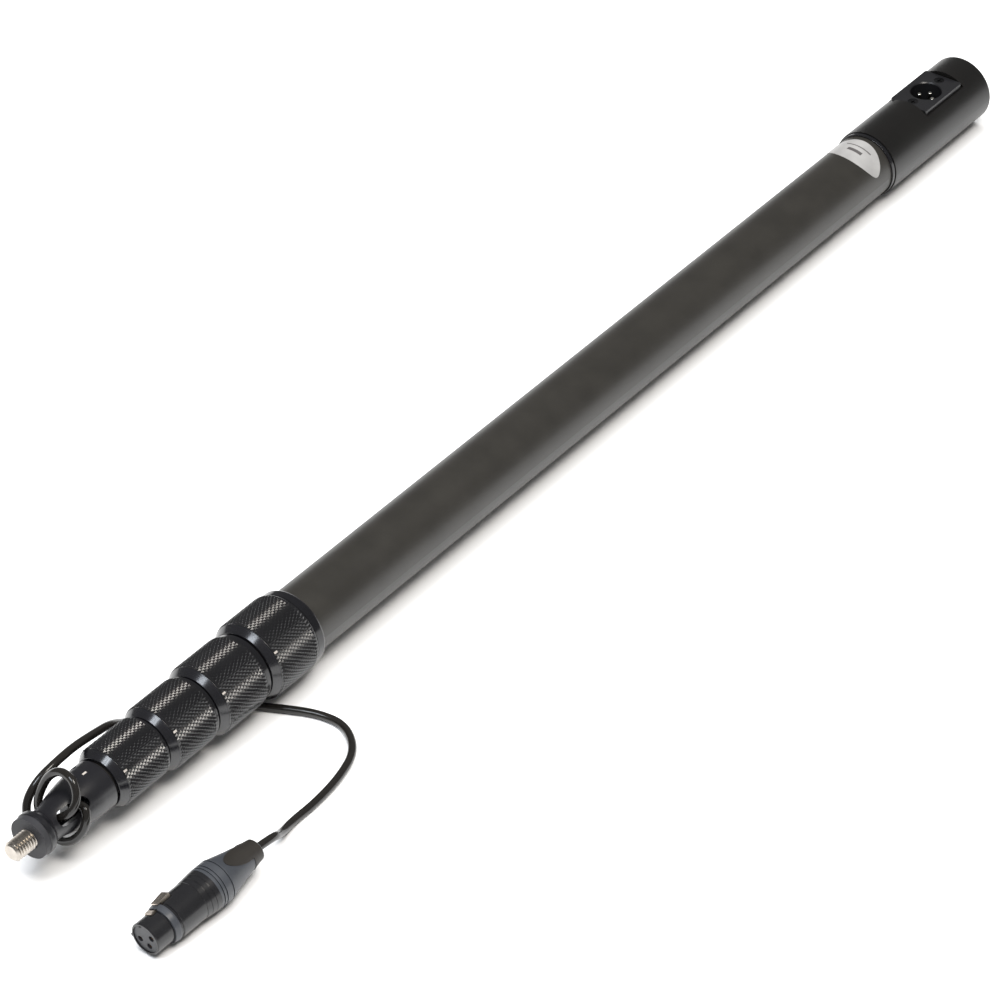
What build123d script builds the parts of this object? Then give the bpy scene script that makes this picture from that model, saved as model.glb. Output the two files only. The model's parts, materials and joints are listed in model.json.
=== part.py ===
from build123d import *
import os
from math import atan, cos, degrees, radians, sin, tan

# Collapsed five-section boom pole with its cable tail, lying on the ground, in millimetres.
# +X runs along the pole towards the microphone end and +Z is up.
# The origin is on the ground below the middle of the pole. The pole rests on the edge of
# its base end and on its own cable, so its axis rises a little towards the microphone end.

os.makedirs("parts", exist_ok=True)

# ---------------------------------------------------------------- driving dimensions
# Stages run from the largest nut (index 0) to the smallest (index 3).
tube_radius = [16.70, 14.94, 13.34, 11.84, 10.30]
tube_wall = 1.05
tube_rear = [-306.0, -276.0, -268.0, -260.0, -252.0]
nut_radius = [20.26, 18.50, 16.90, 15.35]
nut_front = [218.2, 252.7, 284.7, 316.7]
nut_length = [29.7, 30.5, 29.6, 30.7]
shoulder_length = [6.0, 2.8, 1.5, 0.6]
shoulder_over_thread = [0.9, 0.4, 0.4, 0.4]
nut_nose_length = 3.6
nut_nose_drop = 3.05
nut_rim_chamfer = 0.7
thread_depth = 1.80
collet_length = 9.2
tube_to_nose = 15.0
running_fit = 0.05
free_gap = 0.35
bush_length = 22.0

tip_end = 374.0
stud_radius = 4.76
stud_shank_radius = 4.2
stud_chamfer = 0.9
washer_front = 362.6
washer_thickness = 3.4
washer_radius = 10.0
flange_front = 359.2
flange_rear = 356.2
flange_radius = 10.5
neck_front = 351.6
neck_radius = 8.2
cone_rear = 332.0
cone_radius = 11.6
body_radius = 12.1
body_rear = 317.9
spigot_rear = 296.0
fitting_bore = 5.2
grommet_rear = 318.0
grommet_front = 329.6
slot_direction = 54.0
slot_width = 7.5
slot_front = 350.7
slot_rear = 333.5

base_end = -374.8
housing_front = -282.3
housing_radius = 18.0
housing_cavity = 12.4
housing_seat_rear = -310.0
end_rounding = 2.0
ring_length = 2.4
ring_radius = 17.55
end_plug_depth = 7.0
plug_bore = 8.4

label_x = -270.3
label_direction = 5.0
label_size = (9.2, 15.1)
label_thickness = 0.15

socket_x = -339.2
socket_direction = -2.0
socket_flat_height = 13.4
socket_plate = (33.6, 22.0, 2.4)
socket_pocket_length = 34.6
socket_opening = 8.1
socket_lead_in = 0.5
socket_shell_radius = 9.4
socket_floor_depth = 14.0
socket_shell_depth = 19.0
pin_circle = 4.0
pin_radius = 1.2
pin_length = 11.2
socket_screw_spacing = 24.8
socket_screw_radius = 2.6

cord_diameter = 4.0
crossing_x = 224.0
crossing_gap = 0.35

# The connector's stations are measured back from its front face. It lies nose down, on its
# grey ring and on the wide end of its shell.
connector_front = (368.5, 69.3, 9.03)
connector_heading = -2.84
connector_pitch = -2.15
barrel_radius = 7.95
barrel_end = 10.2
lug_direction = 105.0
lug_length = 1.3
lug_height = 0.7
grey_ring_flat = 12.4
grey_ring_end = 13.5
grey_ring_radius = 9.5
shell_front = 14.5
shell_front_radius = 9.6
shell_bands = ((29.2, 31.8), (32.1, 34.6), (34.9, 37.3))
shell_band_step = 0.2
shell_flare = 0.08
shell_radius = 10.4
shell_bore = 6.9
shell_end = 37.4
collar_end = 45.6
collar_grooves = (38.8, 40.6, 44.6)
collar_groove_width = 0.6
collar_groove_depth = 0.5
boot_waist = 55.0
boot_waist_radius = 8.05
boot_end = 70.2
boot_end_radius = 5.1
boot_bore = 2.45
grip_place = (60.0, -15.0)
grip_size = (11.6, 4.8)
grip_sleeve = 63.0
grip_thickness = 0.25
contact_circle = 3.8
contact_radius = 1.45
contact_bore = 1.15
latch_direction = 30.0
latch_hook = 6.8
latch_lip = 11.8
latch_rear = 19.6
latch_width = 4.6
latch_pivot = (17.4, 8.4)
latch_pin_radius = 0.5

# ---------------------------------------------------------------- planes and helpers
rest_x = base_end + end_rounding
underside_rise = nut_radius[1] + cord_diameter + crossing_gap - housing_radius
tilt = atan(underside_rise / (crossing_x - rest_x))
axis_height = housing_radius / cos(tilt) - rest_x * tan(tilt)
along = (cos(tilt), 0, sin(tilt))


def on_pole(x, radius=0.0, angle=0.0):
    """The point x along the pole and radius out from its axis, angle degrees from up towards +Y."""
    height = radius * cos(radians(angle))
    return (x * cos(tilt) - height * sin(tilt), radius * sin(radians(angle)),
            axis_height + x * sin(tilt) + height * cos(tilt))


pole_axis = Axis(on_pole(0), along)
pole_profile = Plane(origin=on_pole(0), x_dir=along, z_dir=(0, -1, 0))


def across(x):
    """The plane across the pole at x, facing the tip, with its own x along +Y."""
    return Plane(origin=on_pole(x), x_dir=(0, 1, 0), z_dir=along)


def radial(x, angle):
    """The plane through the pole's axis at x that faces angle degrees from up towards +Y."""
    outwards = Vector(on_pole(x, 1, angle)) - Vector(on_pole(x))
    return Plane(origin=on_pole(x), x_dir=along, z_dir=outwards)


def save(piece, name):
    """Label a finished piece and write its own STEP file."""
    piece.part.label = name
    export_step(piece.part, f"parts/{name}.step")


def ring(rear, front, outer, inner):
    """A plain ring round the pole's axis."""
    with BuildPart() as piece:
        with BuildSketch(across(rear)):
            Circle(outer)
            Circle(inner, mode=Mode.SUBTRACT)
        extrude(amount=front - rear)
    return piece


def turned(*points):
    """A piece turned round the pole's axis from an outline of (x, radius) points."""
    with BuildPart() as piece:
        with BuildSketch(pole_profile):
            with BuildLine():
                Polyline(*points, close=True)
            make_face()
        revolve(axis=pole_axis)
    return piece


# ---------------------------------------------------------------- the five tubes
def tube_front(stage):
    """Where a section's tube ends, just behind its collet."""
    if stage < 4:
        return nut_front[stage] - tube_to_nose
    return body_rear


for stage in range(5):
    inner = tube_radius[stage] - tube_wall
    tube = ring(tube_rear[stage], tube_front(stage), tube_radius[stage], inner)
    save(tube, "main_tube" if stage == 0 else f"section_tube_{stage + 1}")

for stage in range(1, 5):
    rear = tube_rear[stage]
    outer = tube_radius[stage - 1] - tube_wall - running_fit
    radius = tube_radius[stage]
    bore = radius - tube_wall
    bush = turned((rear - 2, bore), (rear - 2, outer), (rear + bush_length, outer),
                  (rear + bush_length, radius), (rear, radius), (rear, bore))
    save(bush, f"guide_bush_{stage + 1}")


# ---------------------------------------------------------------- the four locks
def make_ferrule(stage):
    """The threaded collar on the tube's front end, with the shoulder behind the nut."""
    seat = tube_radius[stage]
    thread = seat + thread_depth
    front = tube_front(stage)
    nut_rear = nut_front[stage] - nut_length[stage]
    shoulder_front = nut_rear - free_gap
    shoulder_rear = shoulder_front - shoulder_length[stage] + free_gap
    with BuildPart() as piece:
        with BuildSketch(across(shoulder_rear)):
            Circle(thread + shoulder_over_thread[stage])
            Circle(seat, mode=Mode.SUBTRACT)
        extrude(amount=shoulder_front - shoulder_rear)
        if stage == 0:
            back_edge = piece.edges().filter_by(GeomType.CIRCLE).sort_by(SortBy.RADIUS)[-2:]
            fillet(back_edge.sort_by(Axis.X)[0], radius=2.0)
        with BuildSketch(across(shoulder_front)):
            Circle(thread)
            Circle(seat, mode=Mode.SUBTRACT)
        extrude(amount=front - shoulder_front)
    return piece


def make_collet(stage):
    """The split ring that the nut's cone squeezes on the next tube."""
    front = nut_front[stage] - nut_nose_length - 1.8
    rear = front - collet_length
    outer = tube_radius[stage] + thread_depth - free_gap
    bore = tube_radius[stage + 1] + running_fit
    with BuildPart() as piece:
        with BuildSketch(pole_profile):
            with BuildLine():
                Polyline((rear, bore), (rear, outer), (rear + 2.4, outer), (front, bore + 0.9),
                         (front, bore), close=True)
            make_face()
        revolve(axis=pole_axis)
        with BuildSketch(across(front)):
            with PolarLocations(0, 3):
                Rectangle(4 * outer, 0.9)
        extrude(amount=-0.75 * collet_length, mode=Mode.SUBTRACT)
    return piece


def make_nut(stage):
    """The lock nut: bevelled nose, plain grip, threaded bore and the cone on its inside."""
    front = nut_front[stage]
    rear = front - nut_length[stage]
    outer = nut_radius[stage]
    thread = tube_radius[stage] + thread_depth + running_fit
    nose_bore = tube_radius[stage + 1] + 0.40
    cone_front = nose_bore + 0.95
    with BuildPart() as piece:
        with BuildSketch(pole_profile):
            with BuildLine():
                Polyline((rear, thread), (rear, outer - nut_rim_chamfer),
                         (rear + nut_rim_chamfer, outer), (front - nut_nose_length, outer),
                         (front - 0.5, outer - nut_nose_drop + 0.3), (front, outer - nut_nose_drop),
                         (front, nose_bore), (front - 4.6, nose_bore), (front - 5.0, cone_front),
                         (front - 12.0, thread), close=True)
            make_face()
        revolve(axis=pole_axis)
        with BuildSketch(across(front - 3.2)):
            Circle(nose_bore + 0.8)
            Circle(nose_bore - 0.2, mode=Mode.SUBTRACT)
        extrude(amount=1.8, mode=Mode.SUBTRACT)
    return piece


def make_seal(stage):
    """The rubber ring in the nut's nose."""
    front = nut_front[stage] - 1.5
    bore = tube_radius[stage + 1] + 2 * running_fit
    return ring(front - 1.6, front, tube_radius[stage + 1] + 1.15, bore)


for stage in range(4):
    save(make_ferrule(stage), f"ferrule_{stage + 1}")
    save(make_collet(stage), f"collet_{stage + 1}")
    save(make_nut(stage), f"lock_nut_{stage + 1}")
    save(make_seal(stage), f"nose_seal_{stage + 1}")

# ---------------------------------------------------------------- the tip
with BuildPart() as tip_fitting:
    with BuildSketch(pole_profile):
        with BuildLine():
            Polyline((spigot_rear, 0), (spigot_rear, tube_radius[4] - tube_wall),
                     (body_rear, tube_radius[4] - tube_wall), (body_rear, body_radius - 0.5),
                     (body_rear + 0.5, body_radius), (cone_rear - 7, body_radius))
            Spline((cone_rear - 7, body_radius), (cone_rear, cone_radius),
                   ((cone_rear + neck_front) / 2, (cone_radius + neck_radius) / 2),
                   (neck_front, neck_radius), (flange_rear - 1.6, flange_radius - 1.3),
                   tangents=((1, 0), (0.6, 1)))
            Polyline((flange_rear - 1.6, flange_radius - 1.3), (flange_rear, flange_radius - 0.2),
                     (flange_rear + 0.6, flange_radius), (flange_front - 0.4, flange_radius),
                     (flange_front, flange_radius - 0.4), (flange_front, 0), (spigot_rear, 0))
        make_face()
    revolve(axis=pole_axis)
    with BuildSketch(across(spigot_rear)):
        Circle(fitting_bore)
    extrude(amount=slot_front - 4 - spigot_rear, mode=Mode.SUBTRACT)
    with BuildSketch(across(flange_front)):
        Circle(stud_shank_radius)
    extrude(amount=-6, mode=Mode.SUBTRACT)
    with BuildSketch(radial((slot_front + slot_rear) / 2, slot_direction)):
        SlotOverall(slot_front - slot_rear, slot_width)
    extrude(amount=2 * body_radius, both=True, mode=Mode.SUBTRACT)
    for angle in (-40.0, 140.0):
        with BuildSketch(radial(cone_rear - 8, angle)):
            Circle(1.5)
        extrude(amount=2 * body_radius, mode=Mode.SUBTRACT)
save(tip_fitting, "tip_fitting")

with BuildPart() as tip_screws:
    for angle in (-40.0, 140.0):
        with BuildSketch(radial(cone_rear - 8, angle).offset(fitting_bore + 1)):
            Circle(1.45)
        extrude(amount=body_radius - fitting_bore - 2)
        with BuildSketch(radial(cone_rear - 8, angle).offset(body_radius - 1)):
            RegularPolygon(0.75, 6)
        extrude(amount=-1.6, mode=Mode.SUBTRACT)
save(tip_screws, "tip_screws")

tip_washer = ring(washer_front - washer_thickness, washer_front, washer_radius, stud_radius + 0.15)
save(tip_washer, "tip_washer")

with BuildPart() as tip_stud:
    with BuildSketch(pole_profile):
        with BuildLine():
            Polyline((flange_front - 6, 0), (flange_front - 6, stud_shank_radius),
                     (washer_front, stud_shank_radius), (washer_front, stud_radius),
                     (tip_end - stud_chamfer, stud_radius), (tip_end, stud_shank_radius - 0.6),
                     (tip_end, 0), close=True)
        make_face()
    revolve(axis=pole_axis)
save(tip_stud, "tip_stud")

cable_grommet = ring(grommet_rear, grommet_front, fitting_bore, 1.0)
save(cable_grommet, "cable_grommet")

# ---------------------------------------------------------------- the base module
with BuildPart() as base_housing:
    with BuildSketch(across(base_end)):
        Circle(housing_radius)
    extrude(amount=housing_front - ring_length - base_end)
    fillet(base_housing.edges().sort_by(Axis.X)[0], radius=end_rounding)
    with BuildSketch(across(base_end)):
        Circle(housing_cavity)
    extrude(amount=housing_seat_rear - base_end, mode=Mode.SUBTRACT)
    with BuildSketch(across(housing_seat_rear)):
        Circle(tube_radius[0])
    extrude(amount=housing_front - housing_seat_rear, mode=Mode.SUBTRACT)
    with BuildSketch(radial(socket_x, socket_direction).offset(socket_flat_height)):
        Rectangle(socket_pocket_length, 2 * housing_radius)
    extrude(amount=housing_radius, mode=Mode.SUBTRACT)
    with BuildSketch(radial(socket_x, socket_direction)):
        Circle(socket_shell_radius + 0.3)
    extrude(amount=housing_radius, mode=Mode.SUBTRACT)
save(base_housing, "base_housing")

with BuildPart() as housing_ring:
    with BuildSketch(across(housing_front - ring_length)):
        Circle(ring_radius)
        Circle(tube_radius[0], mode=Mode.SUBTRACT)
    extrude(amount=ring_length)
    outer_edges = housing_ring.edges().filter_by(GeomType.CIRCLE).sort_by(SortBy.RADIUS)[-2:]
    fillet(outer_edges, radius=0.35)
save(housing_ring, "housing_ring")

with BuildPart() as label:
    with BuildSketch(across(label_x - label_size[0])):
        Circle(tube_radius[0] + label_thickness)
        Circle(tube_radius[0], mode=Mode.SUBTRACT)
    extrude(amount=2 * label_size[0])
    with BuildSketch(radial(label_x, label_direction)):
        Ellipse(*label_size)
    extrude(amount=2 * tube_radius[0], mode=Mode.INTERSECT)
save(label, "label")

with BuildPart() as base_plug:
    with BuildSketch(across(housing_seat_rear + 0.5)):
        Circle(tube_radius[0])
        Circle(plug_bore, mode=Mode.SUBTRACT)
    extrude(amount=tube_rear[0] - housing_seat_rear - 0.5)
    with BuildSketch(across(tube_rear[0])):
        Circle(tube_radius[0] - tube_wall)
        Circle(plug_bore, mode=Mode.SUBTRACT)
    extrude(amount=18)
save(base_plug, "base_plug")

with BuildPart() as end_plug:
    with BuildSketch(across(base_end + 0.6)):
        Circle(housing_cavity)
    extrude(amount=end_plug_depth)
    with BuildSketch(across(base_end + 0.6)):
        Circle(housing_cavity - 4)
    extrude(amount=1.2, mode=Mode.SUBTRACT)
save(end_plug, "end_plug")

# ---------------------------------------------------------------- the chassis socket
plate_length, plate_width, plate_thickness = socket_plate
socket_base = radial(socket_x, socket_direction)
plate_top = socket_flat_height + plate_thickness
cavity_floor = plate_top - socket_floor_depth
screw_places = [(-socket_screw_spacing / 2, 0), (socket_screw_spacing / 2, 0)]
pin_places = [(0, pin_circle), (-pin_circle, 0), (0, -pin_circle)]

with BuildPart() as socket_flange:
    with BuildSketch(socket_base.offset(socket_flat_height)):
        RectangleRounded(plate_length, plate_width, 1.2)
        Circle(socket_opening, mode=Mode.SUBTRACT)
        with Locations(*screw_places):
            Circle(socket_screw_radius + 0.1, mode=Mode.SUBTRACT)
    extrude(amount=plate_thickness)
    round_edges = socket_flange.edges().filter_by(GeomType.CIRCLE)
    mouth = round_edges.filter_by(lambda edge: abs(edge.radius - socket_opening) < 0.01)
    chamfer(mouth.sort_by(Axis(socket_base.origin, socket_base.z_dir))[-1], length=socket_lead_in)
save(socket_flange, "socket_flange")

with BuildPart() as socket_shell:
    with BuildSketch(socket_base.offset(plate_top - socket_shell_depth)):
        Circle(socket_shell_radius)
        Circle(socket_opening, mode=Mode.SUBTRACT)
    extrude(amount=socket_shell_depth - plate_thickness)
save(socket_shell, "socket_shell")

with BuildPart() as socket_insert:
    with BuildSketch(socket_base.offset(plate_top - socket_shell_depth)):
        Circle(socket_opening)
        with Locations(*pin_places):
            Circle(pin_radius, mode=Mode.SUBTRACT)
    extrude(amount=socket_shell_depth - socket_floor_depth)
save(socket_insert, "socket_insert")

with BuildPart() as socket_pins:
    with BuildSketch(socket_base.offset(plate_top - socket_shell_depth - 2)):
        with Locations(*pin_places):
            Circle(pin_radius)
    extrude(amount=socket_shell_depth - socket_floor_depth + 2 + pin_length)
    tips = socket_pins.edges().group_by(Axis(socket_base.origin, socket_base.z_dir))[-1]
    fillet(tips, radius=0.8)
save(socket_pins, "socket_pins")

with BuildPart() as socket_screws:
    with BuildSketch(socket_base.offset(plate_top - 0.2)):
        with Locations(*screw_places):
            Circle(socket_screw_radius)
    extrude(amount=-1.8)
    with BuildSketch(socket_base.offset(plate_top - 0.2)):
        with Locations(*screw_places):
            Rectangle(3.0, 0.6)
            Rectangle(0.6, 3.0)
    extrude(amount=-0.8, mode=Mode.SUBTRACT)
save(socket_screws, "socket_screws")

# ---------------------------------------------------------------- the connector
level = cos(radians(connector_pitch))
heading = (level * cos(radians(connector_heading)), level * sin(radians(connector_heading)),
           sin(radians(connector_pitch)))
backwards = tuple(-value for value in heading)
sideways = (-sin(radians(connector_heading)), cos(radians(connector_heading)), 0)
connector_up = Vector(*heading).cross(Vector(*sideways))
connector_axis = Axis(connector_front, backwards)
connector_profile = Plane(origin=connector_front, x_dir=backwards, z_dir=sideways)


def behind(station):
    """The plane across the connector, station mm behind its front face and facing back."""
    origin = connector_axis.position + connector_axis.direction * station
    return Plane(origin=origin, x_dir=sideways, z_dir=backwards)


def on_side(station, direction):
    """The plane through the connector's axis facing direction degrees from up towards -Y."""
    outwards = connector_up.rotate(connector_axis, -direction)
    origin = connector_axis.position + connector_axis.direction * station
    return Plane(origin=origin, x_dir=backwards, z_dir=outwards)


def connector_turned(*points):
    """A piece turned round the connector's axis from an outline of (station, radius) points."""
    with BuildPart() as piece:
        with BuildSketch(connector_profile):
            with BuildLine():
                Polyline(*points, close=True)
            make_face()
        revolve(axis=connector_axis)
    return piece


latch_slot = on_side((latch_hook + latch_rear) / 2, latch_direction)
latch_slot_size = (latch_rear - latch_hook + 1.0, latch_width + 0.7)
latch_side = on_side(0, latch_direction)
latch_outline = Plane(origin=latch_side.origin, x_dir=backwards, z_dir=-latch_side.y_dir)

shell_outline = [(0, shell_bore), (0, barrel_radius - 0.4), (0.4, barrel_radius),
                 (grey_ring_end, barrel_radius), (grey_ring_end, shell_front_radius - 0.5),
                 (shell_front, shell_front_radius - 0.5), (shell_front + 0.3, shell_front_radius)]
for band_start, band_end in shell_bands:
    start_radius = shell_radius - shell_flare * (shell_end - band_start)
    end_radius = shell_radius - shell_flare * (shell_end - band_end)
    shell_outline += [(band_start - 0.1, start_radius - shell_band_step), (band_start, start_radius),
                      (band_end, end_radius), (band_end + 0.1, end_radius - shell_band_step)]
shell_outline[-1] = (shell_end, shell_bore)

with BuildPart() as connector_shell:
    add(connector_turned(*shell_outline).part)
    with BuildSketch(on_side(lug_length / 2 + 0.2, lug_direction).offset(barrel_radius - 0.4)):
        Rectangle(lug_length, lug_length)
    extrude(amount=0.4 + lug_height)
    with BuildSketch(latch_slot.offset(shell_bore + 0.3)):
        Rectangle(*latch_slot_size)
    extrude(amount=shell_radius, mode=Mode.SUBTRACT)
    with BuildSketch(latch_outline):
        with Locations(latch_pivot):
            Circle(latch_pin_radius)
    extrude(amount=latch_slot_size[1] / 2 + 0.6, both=True, mode=Mode.SUBTRACT)
save(connector_shell, "connector_shell")

with BuildPart() as connector_ring:
    add(connector_turned((barrel_end, barrel_radius), (barrel_end, grey_ring_radius - 0.7),
                         (grey_ring_flat, grey_ring_radius), (grey_ring_end - 0.3, grey_ring_radius),
                         (grey_ring_end, grey_ring_radius - 0.3), (grey_ring_end, barrel_radius)).part)
    with BuildSketch(latch_slot.offset(shell_bore)):
        Rectangle(*latch_slot_size)
    extrude(amount=grey_ring_radius - 0.9 - shell_bore, mode=Mode.SUBTRACT)
save(connector_ring, "connector_ring")

contact_places = []
for turn in (90, 180, 270):
    direction = radians(latch_direction + turn)
    contact_places.append((-contact_circle * sin(direction), -contact_circle * cos(direction)))

with BuildPart() as connector_insert:
    with BuildSketch(behind(0.6)):
        Circle(shell_bore)
        with Locations(*contact_places):
            Circle(contact_radius, mode=Mode.SUBTRACT)
    extrude(amount=shell_end - 4)
    with BuildSketch(on_side(0.6, latch_direction).offset(shell_bore - 1.2)):
        Rectangle(8.0, 1.6)
    extrude(amount=2, mode=Mode.SUBTRACT)
save(connector_insert, "connector_insert")

with BuildPart() as connector_contacts:
    with BuildSketch(behind(1.8)):
        with Locations(*contact_places):
            Circle(contact_radius)
            Circle(contact_bore, mode=Mode.SUBTRACT)
    extrude(amount=16)
    with BuildSketch(behind(17.8)):
        with Locations(*contact_places):
            Circle(contact_radius)
    extrude(amount=8)
save(connector_contacts, "connector_contacts")

with BuildPart() as connector_collar:
    with BuildSketch(behind(shell_end)):
        Circle(shell_radius)
        Circle(shell_bore + 1, mode=Mode.SUBTRACT)
    extrude(amount=collar_end - shell_end)
    for groove in collar_grooves:
        with BuildSketch(behind(groove)):
            Circle(shell_radius + 1)
            Circle(shell_radius - collar_groove_depth, mode=Mode.SUBTRACT)
        extrude(amount=collar_groove_width, mode=Mode.SUBTRACT)
save(connector_collar, "connector_collar")

boot_outline = [(collar_end, shell_radius - 0.1), (boot_waist, boot_waist_radius),
                (grip_sleeve, boot_waist_radius - 1.7), (boot_end - 4, boot_end_radius + 0.5),
                (boot_end - 0.8, boot_end_radius), (boot_end, boot_end_radius - 0.8)]
connector_boot = connector_turned(*boot_outline, (boot_end, boot_bore), (collar_end, boot_bore))
save(connector_boot, "connector_boot")

connector_chuck = connector_turned((shell_end - 2, boot_bore), (shell_end - 2, shell_bore),
                                   (shell_end, shell_bore), (shell_end, shell_bore + 0.9),
                                   (collar_end, shell_bore + 0.9), (collar_end, boot_bore))
save(connector_chuck, "connector_chuck")

with BuildPart() as connector_grip:
    raised = [(station, radius + grip_thickness) for station, radius in boot_outline[:-1]]
    add(connector_turned(*raised, *reversed(boot_outline[:-1])).part)
    with BuildSketch(on_side(*grip_place)):
        Ellipse(*grip_size)
    extrude(amount=2 * shell_radius, mode=Mode.INTERSECT)
    add(connector_turned(*raised[2:], *reversed(boot_outline[2:-1])).part)
save(connector_grip, "connector_grip")

with BuildPart() as connector_latch:
    with BuildSketch(latch_outline):
        with BuildLine():
            Polyline((latch_hook, 7.5), (latch_pivot[0] - 2.4, 7.5), (latch_rear, 7.8),
                     (latch_rear, 11.0), (latch_rear - 0.3, 11.3), (latch_lip, 10.15),
                     (latch_lip, 9.75), (grey_ring_end + 0.4, 9.9), (grey_ring_end + 0.4, 8.05),
                     (barrel_end - 0.2, 8.05), (barrel_end - 0.8, 8.6), (latch_hook + 0.6, 8.6),
                     (latch_hook, 8.0), close=True)
        make_face()
        with Locations(latch_pivot):
            Circle(latch_pin_radius + running_fit, mode=Mode.SUBTRACT)
    extrude(amount=latch_width / 2, both=True)
save(connector_latch, "connector_latch")

with BuildPart() as latch_pin:
    with BuildSketch(latch_outline):
        with Locations(latch_pivot):
            Circle(latch_pin_radius)
    extrude(amount=latch_slot_size[1] / 2 + 0.6, both=True)
save(latch_pin, "latch_pin")

# ---------------------------------------------------------------- the cable
# From the grommet out of the fitting's slot, once round the neck and back through the slot,
# then in an arch along the far side, under the second nut and round to the connector.
tied = [(329.6, 0, 50), (332.9, 0, 50), (335.6, 3.4, 49), (337.2, 8.2, 51), (337.8, 12.6, 59),
        (339.4, 13.4, 78), (341.4, 13.0, 101), (343.0, 12.7, 124), (344.4, 12.8, 148),
        (344.8, 13.1, 172), (344.2, 13.0, -166), (343.4, 12.7, -144), (343.0, 12.5, -122),
        (342.9, 12.5, -100), (342.4, 12.6, -79), (340.4, 14.0, -54), (338.3, 17.0, -32),
        (337.2, 19.9, -10), (338.0, 20.2, 12), (340.0, 17.5, 29), (342.3, 14.3, 42),
        (344.6, 10.7, 51), (346.6, 5.8, 54), (347.6, 0, 54), (348.0, 5.8, -127),
        (348.3, 11.2, -126), (347.9, 15.8, -112), (344.8, 17.2, -90), (338.0, 18.0, -67),
        (328.0, 18.5, -54), (314.5, 19.1, -56), (300.0, 18.6, -66), (286.0, 19.6, -82)]
lying = [(272.0, -22.2, 15.4), (258.0, -24.0, 6.6), (243.0, -22.6, 2.0), (233.0, -17.5, 2.0),
         (226.0, -9.0, 2.0), (220.2, 1.3, 2.0), (211.2, 17.7, 2.0), (204.6, 31.9, 2.0),
         (203.4, 46.5, 2.0), (214.3, 60.3, 2.0), (232.0, 65.8, 2.0), (252.0, 67.9, 2.0),
         (267.6, 67.4, 2.0), (279.0, 70.2, 4.6), (288.0, 73.2, 11.0), (299.6, 72.7, 11.6)]
route = [Vector(on_pole(*place)) for place in tied] + [Vector(*place) for place in lying]
runs = [after - before for before, after in zip(route, route[1:])]
arc_radii = []
for before, after in zip(runs, runs[1:]):
    half_turn = radians(before.get_angle(after) / 2)
    arc_radii.append(0.45 * min(before.length, after.length) / tan(half_turn))

with BuildPart() as cord:
    with BuildLine():
        path = FilletPolyline(*route, radius=arc_radii)
    with BuildSketch(Plane(origin=path @ 0, z_dir=path % 0)):
        Circle(cord_diameter / 2)
    sweep()
save(cord, "cord")

expected = radians(180) * (cord_diameter / 2) ** 2 * path.length
print("tilt", round(degrees(tilt), 4), "axis height", round(axis_height, 3))
print("cord length", round(path.length, 1), "volume", round(cord.part.volume, 1), "of", round(expected, 1))
print("arc radii", [round(radius, 1) for radius in arc_radii])
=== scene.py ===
import json
from math import cos, degrees, pi, radians, sin

import bmesh
import bpy
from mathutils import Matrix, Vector


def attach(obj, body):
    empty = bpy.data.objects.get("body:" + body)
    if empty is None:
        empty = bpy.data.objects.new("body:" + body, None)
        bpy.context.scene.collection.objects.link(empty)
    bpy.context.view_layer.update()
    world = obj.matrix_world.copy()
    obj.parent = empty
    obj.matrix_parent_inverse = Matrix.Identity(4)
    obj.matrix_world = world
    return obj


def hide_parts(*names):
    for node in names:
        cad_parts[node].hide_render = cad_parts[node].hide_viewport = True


# A collapsed boom pole with its cable tail on a white floor, in metres.
# The pole's axis rises a little towards +X, so most places are given in pole coordinates:
# x along the axis, radius out from it, and angle from up towards +Y in degrees.

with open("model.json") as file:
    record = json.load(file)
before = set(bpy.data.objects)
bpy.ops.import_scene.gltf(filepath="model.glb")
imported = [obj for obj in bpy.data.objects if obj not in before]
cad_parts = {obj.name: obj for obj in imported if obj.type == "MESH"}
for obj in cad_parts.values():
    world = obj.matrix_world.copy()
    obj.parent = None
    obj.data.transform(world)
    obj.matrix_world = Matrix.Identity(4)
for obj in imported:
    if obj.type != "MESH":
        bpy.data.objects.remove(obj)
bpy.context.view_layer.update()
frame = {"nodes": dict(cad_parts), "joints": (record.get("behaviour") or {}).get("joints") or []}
nodes = frame["nodes"]
mm = 0.001

# ---------------------------------------------------------------- the pole's axis
nut_joint = next(joint for joint in frame["joints"] if joint["name"] == "lock_nut_1_turn")
axis_point = Vector(nut_joint["pos_m"])
along = Vector(nut_joint["axis"]).normalized()
across = Vector((0, 1, 0))
upward = along.cross(across)
if upward.z < 0:
    upward = -upward


def on_pole(x, radius=0.0, angle=0.0):
    """The point at pole coordinates x, radius and angle."""
    outward = upward * cos(radians(angle)) + across * sin(radians(angle))
    return axis_point + along * x + outward * radius


def extent(node):
    """How far a CAD node reaches along the pole, and its largest radius: (rear, front, radius)."""
    offsets = [vertex.co - axis_point for vertex in nodes[node].data.vertices]
    stations = [offset.dot(along) for offset in offsets]
    radii = [(offset - along * offset.dot(along)).length for offset in offsets]
    return min(stations), max(stations), max(radii)


# ---------------------------------------------------------------- the camera
camera_place = Vector((1.46058, 1.08187, 1.42691))
camera_aim = Vector((0.03089, 0.00252, 0.0))
camera_data = bpy.data.cameras.new("camera")
camera_data.lens = 173.91
camera_data.sensor_width = 36.0
camera = bpy.data.objects.new("camera", camera_data)
camera.location = camera_place
camera.rotation_euler = (camera_aim - camera_place).to_track_quat("-Z", "Y").to_euler()
bpy.context.scene.collection.objects.link(camera)
bpy.context.scene.camera = camera


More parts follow.
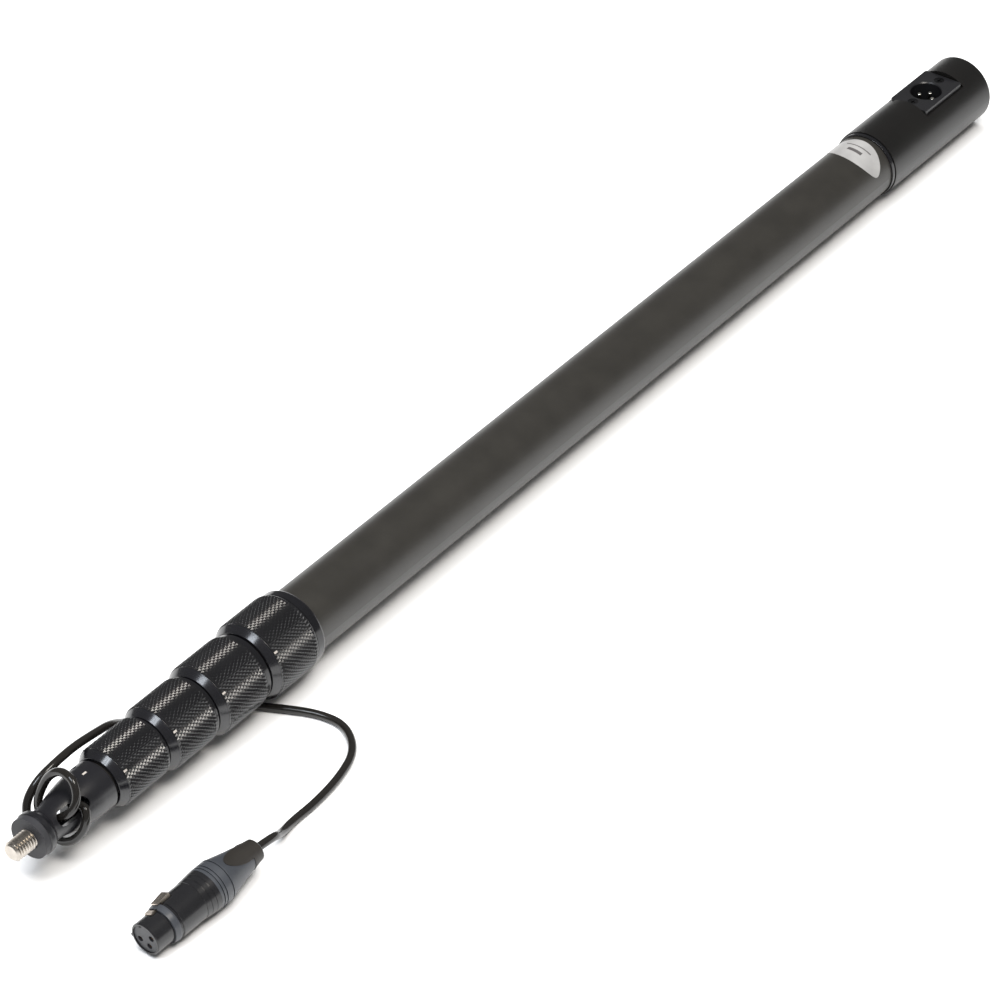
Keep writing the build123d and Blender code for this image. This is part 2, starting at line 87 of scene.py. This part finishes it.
# ---------------------------------------------------------------- material helpers
def new_material(name, color, roughness, metallic=0.0, specular=0.5):
    """A material with one Principled shader, its node tree and that shader."""
    material = bpy.data.materials.new(name)
    material.use_nodes = True
    tree = material.node_tree
    shader = tree.nodes["Principled BSDF"]
    shader.inputs["Base Color"].default_value = (*color, 1)
    shader.inputs["Roughness"].default_value = roughness
    shader.inputs["Metallic"].default_value = metallic
    shader.inputs["Specular IOR Level"].default_value = specular
    return material, tree, shader


def noise(tree, scale, detail=3.0, stretch=(1, 1, 1)):
    """Noise in object space, scale in features per metre, squeezed along each axis by stretch."""
    place = tree.nodes.new("ShaderNodeTexCoord")
    mapping = tree.nodes.new("ShaderNodeMapping")
    mapping.inputs["Scale"].default_value = stretch
    texture = tree.nodes.new("ShaderNodeTexNoise")
    texture.inputs["Scale"].default_value = scale
    texture.inputs["Detail"].default_value = detail
    tree.links.new(place.outputs["Object"], mapping.inputs["Vector"])
    tree.links.new(mapping.outputs["Vector"], texture.inputs["Vector"])
    return texture.outputs["Fac"]


def vary_color(tree, shader, factor, dark, light):
    """Base colour that runs from dark to light over the middle of the factor's range."""
    ramp = tree.nodes.new("ShaderNodeValToRGB")
    ramp.color_ramp.elements[0].position = 0.35
    ramp.color_ramp.elements[0].color = (*dark, 1)
    ramp.color_ramp.elements[1].position = 0.65
    ramp.color_ramp.elements[1].color = (*light, 1)
    tree.links.new(factor, ramp.inputs["Fac"])
    tree.links.new(ramp.outputs["Color"], shader.inputs["Base Color"])


def vary_roughness(tree, shader, factor, low, high):
    """Roughness that runs from low to high with the factor."""
    spread = tree.nodes.new("ShaderNodeMapRange")
    spread.inputs["To Min"].default_value = low
    spread.inputs["To Max"].default_value = high
    tree.links.new(factor, spread.inputs["Value"])
    tree.links.new(spread.outputs["Result"], shader.inputs["Roughness"])


def bump(tree, shader, factor, depth):
    """Bump of a real depth in metres from the factor."""
    node = tree.nodes.new("ShaderNodeBump")
    node.inputs["Distance"].default_value = depth
    node.inputs["Strength"].default_value = 1.0
    tree.links.new(factor, node.inputs["Height"])
    tree.links.new(node.outputs["Normal"], shader.inputs["Normal"])


# ---------------------------------------------------------------- the materials
def anodised(name, color, roughness, specular=0.5):
    """Black anodised aluminium: a fine matt grain with slow changes of sheen."""
    material, tree, shader = new_material(name, color, roughness, specular=specular)
    slow = noise(tree, 25.0, 4.0)
    vary_roughness(tree, shader, slow, roughness - 0.05, roughness + 0.05)
    light = tuple(1.25 * value for value in color)
    vary_color(tree, shader, noise(tree, 60.0, 5.0), color, light)
    bump(tree, shader, noise(tree, 9000.0, 2.0), 4e-6)
    return material


def moulded(name, color, roughness, grain=3500.0, depth=6e-6):
    """Moulded plastic or rubber with a faint grain."""
    material, tree, shader = new_material(name, color, roughness)
    light = tuple(1.2 * value for value in color)
    vary_color(tree, shader, noise(tree, 90.0, 4.0), color, light)
    vary_roughness(tree, shader, noise(tree, 40.0, 3.0), roughness - 0.04, roughness + 0.06)
    bump(tree, shader, noise(tree, grain, 2.0), depth)
    return material


def bright_metal(name, color, roughness, stretch=(1, 1, 1)):
    """Bare or plated metal with fine turning marks."""
    material, tree, shader = new_material(name, color, roughness, metallic=1.0)
    dark = tuple(0.8 * value for value in color)
    vary_color(tree, shader, noise(tree, 300.0, 4.0), dark, color)
    marks = 2500.0
    vary_roughness(tree, shader, noise(tree, marks, 3.0, stretch), roughness - 0.05, roughness + 0.1)
    bump(tree, shader, noise(tree, marks, 2.0, stretch), 3e-6)
    return material


tube_black = anodised("tube_black", (0.0190, 0.0176, 0.0152), 0.42)
nut_black = anodised("nut_black", (0.0065, 0.0065, 0.0072), 0.20, specular=0.6)
nose_black = anodised("nose_black", (0.006, 0.006, 0.0075), 0.20, specular=0.7)
fitting_black = anodised("fitting_black", (0.006, 0.006, 0.0075), 0.32, specular=0.6)
housing_black = anodised("housing_black", (0.0045, 0.0042, 0.0038), 0.36)
glossy_black = moulded("glossy_black", (0.005, 0.005, 0.006), 0.14)
plug_black = moulded("plug_black", (0.02, 0.02, 0.02), 0.6)
nylon = moulded("nylon", (0.72, 0.70, 0.64), 0.5)
seal_black = moulded("seal_black", (0.012, 0.012, 0.012), 0.7)
washer_black = moulded("washer_black", (0.024, 0.024, 0.027), 0.62, grain=2500.0, depth=1.2e-5)
screw_black = bright_metal("screw_black", (0.08, 0.08, 0.085), 0.35)
stud_steel = bright_metal("stud_steel", (0.52, 0.48, 0.43), 0.28, stretch=(12, 1, 1))
pin_silver = bright_metal("pin_silver", (0.88, 0.86, 0.80), 0.16)
nickel = bright_metal("nickel", (0.66, 0.58, 0.50), 0.26)
gold = bright_metal("gold", (0.60, 0.30, 0.12), 0.30)
label_grey = moulded("label_grey", (0.285, 0.28, 0.275), 0.4, grain=1500.0)
label_ink = moulded("label_ink", (0.07, 0.065, 0.065), 0.45)
mark_pale = moulded("mark_pale", (0.36, 0.33, 0.30), 0.6)
socket_black = moulded("socket_black", (0.009, 0.009, 0.010), 0.28)
insert_black = moulded("insert_black", (0.008, 0.008, 0.008), 0.5)
cable_black = moulded("cable_black", (0.010, 0.009, 0.008), 0.15, grain=1800.0, depth=1.0e-5)
connector_black = moulded("connector_black", (0.009, 0.009, 0.010), 0.24, grain=2200.0, depth=1.0e-5)
grey_plastic = moulded("grey_plastic", (0.037, 0.040, 0.046), 0.34)
boot_grey = moulded("boot_grey", (0.032, 0.035, 0.041), 0.42)
grip_black = moulded("grip_black", (0.016, 0.014, 0.012), 0.55, grain=1500.0, depth=2e-5)
insert_grey = moulded("insert_grey", (0.036, 0.037, 0.041), 0.45)

finishes = {
    "main_tube": tube_black, "base_housing": housing_black, "housing_ring": glossy_black,
    "base_plug": plug_black, "end_plug": plug_black, "label": label_grey,
    "socket_flange": socket_black, "socket_shell": socket_black, "socket_insert": insert_black,
    "socket_pins": pin_silver, "socket_screws": screw_black, "tip_fitting": fitting_black,
    "tip_screws": screw_black, "tip_washer": washer_black, "tip_stud": stud_steel,
    "cable_grommet": seal_black, "cord": cable_black, "connector_shell": connector_black,
    "connector_ring": grey_plastic, "connector_collar": grey_plastic, "connector_boot": boot_grey,
    "connector_grip": grip_black, "connector_chuck": plug_black, "connector_insert": insert_grey,
    "connector_contacts": gold, "connector_latch": nickel, "latch_pin": nickel,
}
for number in range(1, 5):
    finishes[f"lock_nut_{number}"] = nut_black
    finishes[f"nose_seal_{number}"] = seal_black
    finishes[f"ferrule_{number}"] = glossy_black
    finishes[f"collet_{number}"] = nylon
    finishes[f"section_tube_{number + 1}"] = tube_black
    finishes[f"guide_bush_{number + 1}"] = nylon
for name, finish in finishes.items():
    nodes[name].data.materials.clear()
    nodes[name].data.materials.append(finish)

# ---------------------------------------------------------------- the cable
# The same route as in the part's source: out of the fitting's slot, once round its neck, back
# through the slot, along the far side of the pole, under the second nut and to the connector.
cable_diameter = 4.0 * mm
tied = [(329.6, 0, 50), (332.9, 0, 50), (335.6, 3.4, 49), (337.2, 8.2, 51), (337.8, 12.6, 59),
        (339.4, 13.4, 78), (341.4, 13.0, 101), (343.0, 12.7, 124), (344.4, 12.8, 148),
        (344.8, 13.1, 172), (344.2, 13.0, -166), (343.4, 12.7, -144), (343.0, 12.5, -122),
        (342.9, 12.5, -100), (342.4, 12.6, -79), (340.4, 14.0, -54), (338.3, 17.0, -32),
        (337.2, 19.9, -10), (338.0, 20.2, 12), (340.0, 17.5, 29), (342.3, 14.3, 42),
        (344.6, 10.7, 51), (346.6, 5.8, 54), (347.6, 0, 54), (348.0, 5.8, -127),
        (348.3, 11.2, -126), (347.9, 15.8, -112), (344.8, 17.2, -90), (338.0, 18.0, -67),
        (328.0, 18.5, -54), (314.5, 19.1, -56), (300.0, 18.6, -66), (286.0, 19.6, -82)]
lying = [(272.0, -22.2, 15.4), (258.0, -24.0, 6.6), (243.0, -22.6, 2.0), (233.0, -17.5, 2.0),
         (226.0, -9.0, 2.0), (220.2, 1.3, 2.0), (211.2, 17.7, 2.0), (204.6, 31.9, 2.0),
         (203.4, 46.5, 2.0), (214.3, 60.3, 2.0), (232.0, 65.8, 2.0), (252.0, 67.9, 2.0),
         (267.6, 67.4, 2.0), (279.0, 70.2, 4.6), (288.0, 73.2, 11.0), (299.6, 72.7, 11.6)]
route = [on_pole(x * mm, radius * mm, angle) for x, radius, angle in tied]
route += [Vector(place) * mm for place in lying]

cable_curve = bpy.data.curves.new("cable", "CURVE")
cable_curve.dimensions = "3D"
cable_curve.bevel_depth = cable_diameter / 2
cable_curve.bevel_resolution = 8
cable_curve.resolution_u = 12
cable_curve.use_fill_caps = True
spline = cable_curve.splines.new("NURBS")
spline.points.add(len(route) - 1)
for point, place in zip(spline.points, route):
    point.co = (*place, 1)
spline.order_u = 3
spline.use_endpoint_u = True
cable_curve.materials.append(cable_black)
cable = bpy.data.objects.new("cable", cable_curve)
bpy.context.scene.collection.objects.link(cable)
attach(cable, "section_5")
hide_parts("cord")


# ---------------------------------------------------------------- mesh helpers
def mesh_piece(name, builder, finish, body, stands_for=()):
    """A mesh object that rides on a body, made from the bmesh that builder returns."""
    shape = builder()
    bmesh.ops.recalc_face_normals(shape, faces=shape.faces)
    mesh = bpy.data.meshes.new(name)
    shape.to_mesh(mesh)
    shape.free()
    mesh.materials.append(finish)
    piece = bpy.data.objects.new(name, mesh)
    bpy.context.scene.collection.objects.link(piece)
    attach(piece, body)
    if stands_for:
        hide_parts(*stands_for)
    return piece


def turned_band(shape, outline, steps, smooth=True):
    """Adds a band of faces turned round the pole from an outline of (x, radius) points."""
    rings = []
    for x, radius in outline:
        places = [on_pole(x, radius, 360 * step / steps) for step in range(steps)]
        rings.append([shape.verts.new(place) for place in places])
    for near, far in zip(rings, rings[1:]):
        for step in range(steps):
            after = (step + 1) % steps
            face = shape.faces.new((near[step], near[after], far[after], far[step]))
            face.smooth = smooth


def rounded(outline, radius, parts=4):
    """The outline with each inner corner cut back by radius and rounded with a curve."""
    smoothed = [outline[0]]
    for before, corner, after in zip(outline, outline[1:], outline[2:]):
        corner = Vector(corner)
        to_before = Vector(before) - corner
        to_after = Vector(after) - corner
        start = corner + to_before.normalized() * min(radius, 0.45 * to_before.length)
        end = corner + to_after.normalized() * min(radius, 0.45 * to_after.length)
        for part in range(parts + 1):
            t = part / parts
            smoothed.append(tuple(start * (1 - t) ** 2 + corner * 2 * t * (1 - t) + end * t ** 2))
    smoothed.append(outline[-1])
    return smoothed


# ---------------------------------------------------------------- the lock nuts
knurl_width = 1.86 * mm
knurl_length = 2.80 * mm
knurl_depth = 0.50 * mm
nose_length = 3.6 * mm
nose_drop = 3.05 * mm
nose_lip = 0.4 * mm
nose_lip_drop = 0.3 * mm
nose_seat_length = 4.0 * mm
rear_rim = 0.5 * mm
rear_seat = 1.2 * mm
rear_step = 0.2 * mm
edge_radius = 0.2 * mm
nose_edge_radius = 0.25 * mm
ring_steps = 128
mark_angle = 50.0
mark_setback = 1.0 * mm
mark_sink = 0.05 * mm
nut_mark_size = (2.0 * mm, 1.0 * mm)
fitting_mark_place = 0.3259
fitting_mark_angle = 2.0
fitting_mark_size = (2.4 * mm, 1.0 * mm)


def bore_of(node):
    """The smallest radius of a CAD node round the pole's axis."""
    offsets = [vertex.co - axis_point for vertex in nodes[node].data.vertices]
    return min((offset - along * offset.dot(along)).length for offset in offsets)


def knurled_grip(nut):
    """The nut's grip with real diamonds from a thin rear rim to the nose."""
    rear, front, outer = extent(nut)
    grip_rear = rear + rear_rim
    grip_front = front - nose_length
    valley = outer - knurl_depth
    around = 2 * round(2 * pi * outer / knurl_width)
    lengthwise = 2 * round((grip_front - grip_rear) / knurl_length)
    shape = bmesh.new()
    rows = []
    for row in range(lengthwise + 1):
        x = grip_rear + (grip_front - grip_rear) * row / lengthwise
        edge = row in (0, lengthwise)
        points = []
        for step in range(around):
            peak = (row + step) % 2 == 1 and not edge
            radius = outer if peak else valley
            points.append(shape.verts.new(on_pole(x, radius, 360 * step / around)))
        rows.append(points)
    for row in range(lengthwise):
        for step in range(around):
            after = (step + 1) % around
            a, b = rows[row][step], rows[row][after]
            c, d = rows[row + 1][after], rows[row + 1][step]
            if (row + step) % 2 == 0:
                shape.faces.new((a, b, c))
                shape.faces.new((a, c, d))
            else:
                shape.faces.new((a, b, d))
                shape.faces.new((b, c, d))
    rim = [(rear, bore_of(nut) + rear_seat), (rear, valley - rear_step), (rear + rear_rim, valley)]
    turned_band(shape, rounded(rim, edge_radius), ring_steps)
    return shape


def nut_nose(nut):
    """The nut's smooth bevelled nose with its bore."""
    front, outer = extent(nut)[1:]
    bore = bore_of(nut)
    valley = outer - knurl_depth
    outline = [(front - nose_length, valley - nose_lip), (front - nose_length, valley),
               (front - nose_lip, outer - nose_drop + nose_lip_drop), (front, outer - nose_drop),
               (front, bore), (front - nose_seat_length, bore)]
    shape = bmesh.new()
    turned_band(shape, rounded(outline, nose_edge_radius), ring_steps)
    return shape


def index_mark(x, radius, angle, size):
    """A short plain bar that lies on a round surface at the given pole coordinates."""
    length, width = size
    parts = 12
    shape = bmesh.new()
    rows = []
    for end in (-0.5, 0.5):
        places = [angle + degrees(width / radius) * (part / parts - 0.5) for part in range(parts + 1)]
        rows.append([shape.verts.new(on_pole(x + end * length, radius, place)) for place in places])
    for part in range(parts):
        shape.faces.new((rows[0][part], rows[0][part + 1], rows[1][part + 1], rows[1][part]))
    return shape


for nut in ("lock_nut_1", "lock_nut_2", "lock_nut_3", "lock_nut_4"):
    nut_front, nut_outer = extent(nut)[1:]
    mark_x = nut_front - nose_length - mark_setback
    mesh_piece(f"{nut}_grip", lambda: knurled_grip(nut), nut_black, nut,
               stands_for=(nut,))
    mesh_piece(f"{nut}_nose", lambda: nut_nose(nut), nose_black, nut)
    mesh_piece(f"{nut}_mark",
               lambda: index_mark(mark_x, nut_outer - mark_sink, mark_angle, nut_mark_size),
               mark_pale, nut)
fitting_radius = extent("tip_fitting")[2]
mesh_piece("fitting_mark",
           lambda: index_mark(fitting_mark_place, fitting_radius, fitting_mark_angle,
                              fitting_mark_size),
           mark_pale, "section_5")

# ---------------------------------------------------------------- plain bars on the label
label_rear, label_front, label_radius = extent("label")
label_middle = (label_rear + label_front) / 2
label_angle = 5.0
ink_height = 0.03 * mm
for name, offset, size in (("label_bar_small", -3.6 * mm, (0.7 * mm, 15.0 * mm)),
                           ("label_bar_large", 0.6 * mm, (2.2 * mm, 8.5 * mm))):
    mesh_piece(name,
               lambda: index_mark(label_middle + offset, label_radius + ink_height, label_angle, size),
               label_ink, "main_section")

# ---------------------------------------------------------------- the microphone stud
thread_pitch = 25.4 / 16 * mm
thread_depth = 0.85 * mm
chamfer_length = 0.9 * mm
chamfer_slope = 1.3
centre_gap = 0.01 * mm


def threaded_stud():
    """The stud with its real right-hand thread, running out into the chamfered end."""
    front, outer = extent("tip_stud")[1:]
    turn_steps = 96
    profile = ((0.0, 0.0), (0.08, 0.0), (0.46, 1.0), (0.58, 1.0), (0.96, 0.0))
    start = extent("tip_washer")[0]
    turns = int((front - start) / thread_pitch) + 1
    shape = bmesh.new()
    columns = []
    for step in range(turn_steps + 1):
        column = []
        for turn in range(turns + 1):
            for offset, depth in profile:
                x = start + thread_pitch * (turn + offset - step / turn_steps)
                x = min(max(x, start), front)
                chamfer = max(0.0, x - (front - chamfer_length)) * chamfer_slope
                radius = min(outer - depth * thread_depth, outer - chamfer)
                column.append(shape.verts.new(on_pole(x, radius, 360 * step / turn_steps)))
        columns.append(column)
    for near, far in zip(columns, columns[1:]):
        for low in range(len(near) - 1):
            shape.faces.new((near[low], near[low + 1], far[low + 1], far[low]))
    bmesh.ops.remove_doubles(shape, verts=shape.verts, dist=0.001 * mm)
    end_radius = outer - chamfer_length * chamfer_slope
    turned_band(shape, [(front, end_radius), (front, centre_gap)], turn_steps, smooth=False)
    return shape


mesh_piece("threaded_stud", threaded_stud, stud_steel, "section_5",
           stands_for=("tip_stud",))

# ---------------------------------------------------------------- floor and light
floor_material, floor_tree, floor_shader = new_material("floor", (0.9, 0.9, 0.9), 0.9, specular=0.2)
vary_color(floor_tree, floor_shader, noise(floor_tree, 3.0), (0.9, 0.9, 0.9), (0.93, 0.93, 0.93))
floor_shape = bmesh.new()
bmesh.ops.create_grid(floor_shape, x_segments=4, y_segments=4, size=4.0)
floor_mesh = bpy.data.meshes.new("floor")
floor_shape.to_mesh(floor_mesh)
floor_shape.free()
floor_mesh.materials.append(floor_material)
floor = bpy.data.objects.new("floor", floor_mesh)
bpy.context.scene.collection.objects.link(floor)

world = bpy.data.worlds.new("studio")
world.use_nodes = True
world.node_tree.nodes["Background"].inputs["Color"].default_value = (1.0, 1.0, 1.0, 1)
world.node_tree.nodes["Background"].inputs["Strength"].default_value = 0.20
bpy.context.scene.world = world
bpy.context.scene.view_settings.view_transform = "Standard"


def softbox(name, place, aim, size, power, color=(1, 1, 1)):
    """A rectangular area light that faces a point."""
    data = bpy.data.lights.new(name, "AREA")
    data.shape = "RECTANGLE"
    data.size, data.size_y = size
    data.energy = power
    data.color = color
    light = bpy.data.objects.new(name, data)
    light.location = place
    light.rotation_euler = (Vector(aim) - Vector(place)).to_track_quat("-Z", "Y").to_euler()
    bpy.context.scene.collection.objects.link(light)
    return light


nuts_middle = (0.27, 0.0, 0.02)
cool = (0.86, 0.92, 1.0)
warm = (1.0, 0.95, 0.88)
overhead = softbox("overhead", (0.0, 0.0, 2.2), (0.0, 0.0, 0.0), (2.5, 2.5), 92.0)
overhead.visible_glossy = False
softbox("key_near", (1.34, -0.04, 1.70), nuts_middle, (0.26, 0.60), 7.0, cool)
softbox("key_far", (1.34, -0.40, 1.70), nuts_middle, (0.26, 0.60), 7.0, cool)
softbox("knurl_key", (0.36, 0.86, 1.78), nuts_middle, (0.60, 0.60), 17.0, warm)
